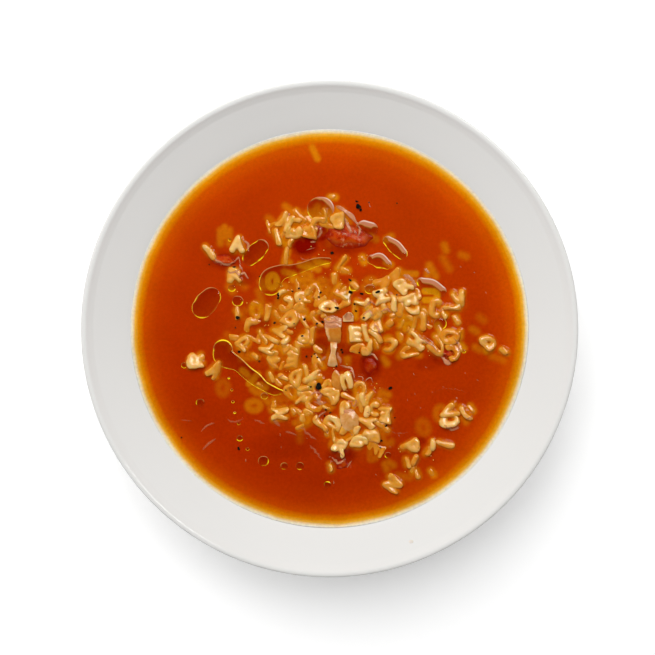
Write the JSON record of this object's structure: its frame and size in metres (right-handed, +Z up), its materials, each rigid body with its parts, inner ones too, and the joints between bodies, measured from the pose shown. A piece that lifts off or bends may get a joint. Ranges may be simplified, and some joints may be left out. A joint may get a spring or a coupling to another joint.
{
  "type": "bowl of alphabet soup",
  "caption": "Wide white porcelain soup bowl filled with tomato broth, floating alphabet pasta, bits of tomato and onion, and drops of oil.",
  "frame": {"origin": "middle of the foot ring's underside, the centre of the bottom of the bounding box", "axes": "+Z up, out of the bowl; in the view straight down that the picture shows, +X is to the right and +Y is up the picture"},
  "size_m": [0.23, 0.23, 0.042],
  "materials": {
    "porcelain": "white glazed porcelain",
    "broth": "wet tomato broth with drops of oil",
    "pasta": "cooked, wet pasta",
    "tomato": "cooked tomato flesh",
    "onion": "cooked, glassy onion"
  },
  "bodies": {
    "root": {"bowl": "porcelain", "soup": "broth", "pasta_raft": "pasta", "pasta_top": "pasta", "pasta_left_west": "pasta", "pasta_left_north": "pasta", "pasta_left_south": "pasta", "pasta_right": "pasta", "pasta_right_low": "pasta", "pasta_right_side": "pasta", "pasta_east": "pasta", "pasta_east_edge": "pasta", "pasta_south_east": "pasta", "pasta_low_right": "pasta", "pasta_low_edge": "pasta", "pasta_low_east": "pasta", "pasta_low": "pasta", "pasta_west": "pasta", "pasta_west_low": "pasta", "pasta_crumb": "pasta", "tomato_top": "tomato", "tomato_left": "tomato", "tomato_centre": "tomato", "tomato_right": "tomato", "tomato_low": "tomato", "onion_heart": "onion", "onion_stem": "onion", "onion_petal": "onion", "onion_low": "onion", "onion_small": "onion"}
  },
  "joints": []
}
